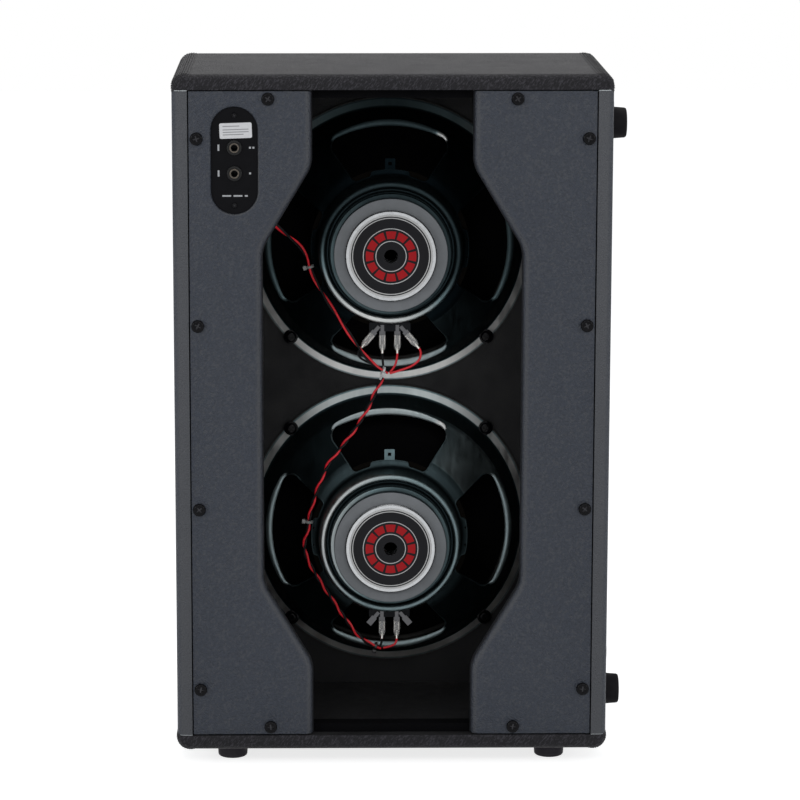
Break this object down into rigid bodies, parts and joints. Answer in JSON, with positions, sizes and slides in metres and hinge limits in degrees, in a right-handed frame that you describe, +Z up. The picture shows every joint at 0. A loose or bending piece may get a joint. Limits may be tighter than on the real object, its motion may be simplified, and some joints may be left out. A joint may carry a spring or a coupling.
{
  "type": "guitar speaker cabinet",
  "caption": "Upright open-backed guitar speaker cabinet with loudspeakers on a baffle, shaped rear panels, a jack plate and rubber feet for standing upright or lying down.",
  "frame": {"origin": "on the floor under the middle of the whole object, side feet and screw heads included", "axes": "+Z up, +Y from the open rear to the grille, +X towards the side with the feet"},
  "size_m": [0.468, 0.2522, 0.728],
  "materials": {
    "cabinet_vinyl": "fine grained charcoal vinyl",
    "black_board": "flat black painted board",
    "black_steel": "black oxide",
    "grille_cloth": "black woven cloth",
    "black_plastic": "satin moulded",
    "plate_plastic": "fine moulded texture",
    "foot_rubber": "matt black rubber",
    "plated_steel": "bright zinc plate",
    "zinc_steel": "blued zinc plate on pressed sheet",
    "gasket_board": "black fibre board",
    "doped_cloth": "doped cloth",
    "cone_paper": "pressed paper pulp",
    "coil_former": "copper winding on a former",
    "spider_cloth": "resin treated cotton",
    "ferrite": "sintered ferrite",
    "label_film": "printed film",
    "terminal_board": "phenolic board",
    "copper_braid": "braided copper",
    "connector_sleeve": "clear sleeve on tinned brass",
    "lead_cover": "red and black covered wires, twisted",
    "red_wire": "red covered wire",
    "black_wire": "black covered wire",
    "nylon": "clear nylon"
  },
  "bodies": {
    "cabinet": {"top_board": "cabinet_vinyl", "bottom_board": "cabinet_vinyl", "left_side_board": "cabinet_vinyl", "right_side_board": "cabinet_vinyl", "baffle_board": "black_board", "baffle_cleats": "black_board", "baffle_screws": "black_steel", "grille_frame": "black_board", "grille_cloth": "grille_cloth", "jack_upper": "black_plastic", "jack_lower": "black_plastic", "jack_nuts": "black_plastic", "jack_plate": "plate_plastic", "jack_plate_screws": "black_steel", "rear_panel_left": "cabinet_vinyl", "rear_panel_right": "cabinet_vinyl", "rear_cleat_top": "black_board", "rear_cleat_bottom": "black_board", "rear_cleat_sides": "black_board", "rear_panel_screws": "black_steel", "floor_feet": "foot_rubber", "side_feet": "foot_rubber", "foot_washers": "plated_steel", "foot_screws": "black_steel", "speaker_bolts": "black_steel", "speaker_tee_nuts": "plated_steel", "terminal_tabs": "plated_steel", "wire_connectors": "connector_sleeve", "input_lead": "lead_cover", "link_lead": "lead_cover", "red_tails": "red_wire", "black_tails": "black_wire", "jack_links": "black_wire", "cable_ties": "nylon", "upper_basket": "zinc_steel", "upper_gasket": "gasket_board", "upper_surround": "doped_cloth", "upper_spider": "spider_cloth", "upper_front_plate": "plated_steel", "upper_magnet": "ferrite", "upper_back_plate": "plated_steel", "upper_label": "label_film", "upper_terminal_board": "terminal_board", "upper_tinsel_leads": "copper_braid", "lower_basket": "zinc_steel", "lower_gasket": "gasket_board", "lower_surround": "doped_cloth", "lower_spider": "spider_cloth", "lower_front_plate": "plated_steel", "lower_magnet": "ferrite", "lower_back_plate": "plated_steel", "lower_label": "label_film", "lower_terminal_board": "terminal_board", "lower_tinsel_leads": "copper_braid"},
    "upper_cone_assembly": {"upper_cone": "cone_paper", "upper_dust_cap": "cone_paper", "upper_voice_coil": "coil_former"},
    "lower_cone_assembly": {"lower_cone": "cone_paper", "lower_dust_cap": "cone_paper", "lower_voice_coil": "coil_former"}
  },
  "joints": [
    {"name": "upper_cone_travel", "type": "slide", "parent": "cabinet", "child": "upper_cone_assembly", "axis": [0, 1, 0], "range_m": [-0.003, 0.003], "stiffness_N_per_m": 6000, "deforming": ["upper_surround", "upper_spider", "upper_tinsel_leads"]},
    {"name": "lower_cone_travel", "type": "slide", "parent": "cabinet", "child": "lower_cone_assembly", "axis": [0, 1, 0], "range_m": [-0.003, 0.003], "stiffness_N_per_m": 6000, "deforming": ["lower_surround", "lower_spider", "lower_tinsel_leads"]}
  ]
}
